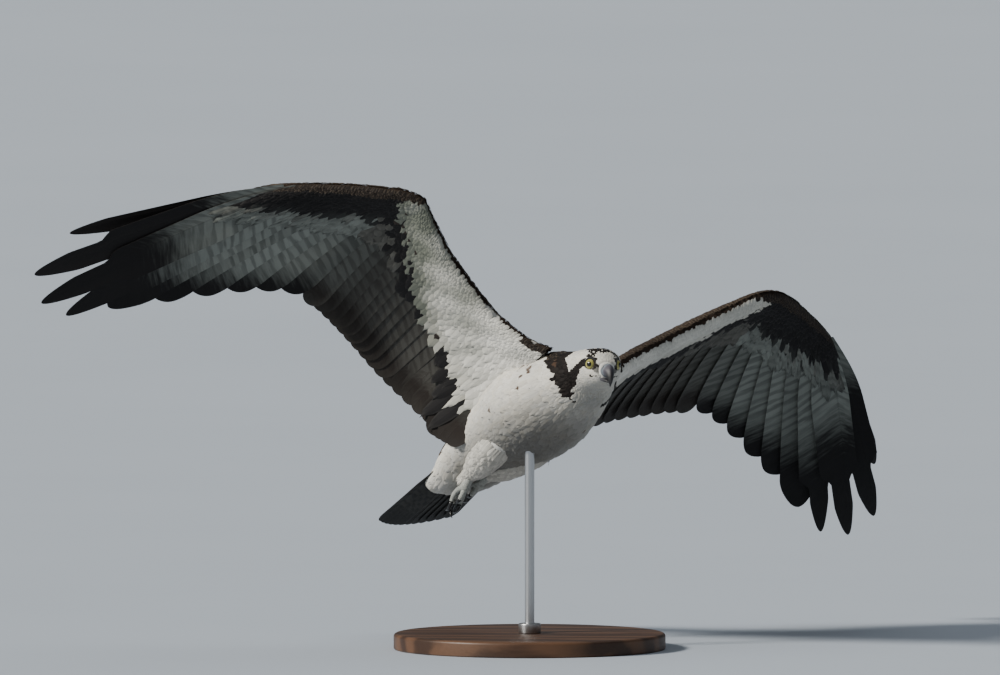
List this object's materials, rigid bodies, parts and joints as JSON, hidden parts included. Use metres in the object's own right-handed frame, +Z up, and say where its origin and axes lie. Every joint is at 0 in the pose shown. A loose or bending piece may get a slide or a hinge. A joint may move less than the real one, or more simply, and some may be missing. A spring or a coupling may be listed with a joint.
{
  "type": "osprey flight display model",
  "caption": "Life-size osprey held in banking flight on a round stand with one rod: wings raised and bent at the wrist, head turned level, tail half spread, feet tucked back.",
  "frame": {"origin": "centre of the stand base's underside, on the floor", "axes": "+Z up along the rod; the picture was taken from the -Y side, looking along +Y; the bird heads toward -Y and +X, nose up, its left wing low on the +X side"},
  "size_m": [1.053, 0.6696, 0.5921],
  "materials": {
    "white_feather": "matt white contour feathers",
    "dark_feather": "satin dark brown flight feathers",
    "barred_feather": "satin grey-brown barred feathers",
    "bill_and_claw": "glossy black horn",
    "eye": "wet glossy yellow eye",
    "bare_foot": "scaly pale blue-grey skin",
    "stand_wood": "dark stained hardwood, satin lacquer",
    "stand_steel": "brushed steel rod"
  },
  "bodies": {
    "root": {"trunk": "white_feather", "neck": "white_feather", "head": "white_feather", "thigh_left": "white_feather", "thigh_right": "white_feather", "tail": "barred_feather", "wing_left_arm": "barred_feather", "wing_right_arm": "barred_feather", "wing_left_hand": "dark_feather", "wing_right_hand": "dark_feather", "bill_upper": "bill_and_claw", "bill_lower": "bill_and_claw", "eye_left": "eye", "foot_left": "bare_foot", "claw_left_1": "bill_and_claw", "claw_left_2": "bill_and_claw", "claw_left_3": "bill_and_claw", "claw_left_4": "bill_and_claw", "eye_right": "eye", "foot_right": "bare_foot", "claw_right_1": "bill_and_claw", "claw_right_2": "bill_and_claw", "claw_right_3": "bill_and_claw", "claw_right_4": "bill_and_claw", "stand_base": "stand_wood", "stand_rod": "stand_steel", "stand_collar": "stand_steel"}
  },
  "joints": []
}
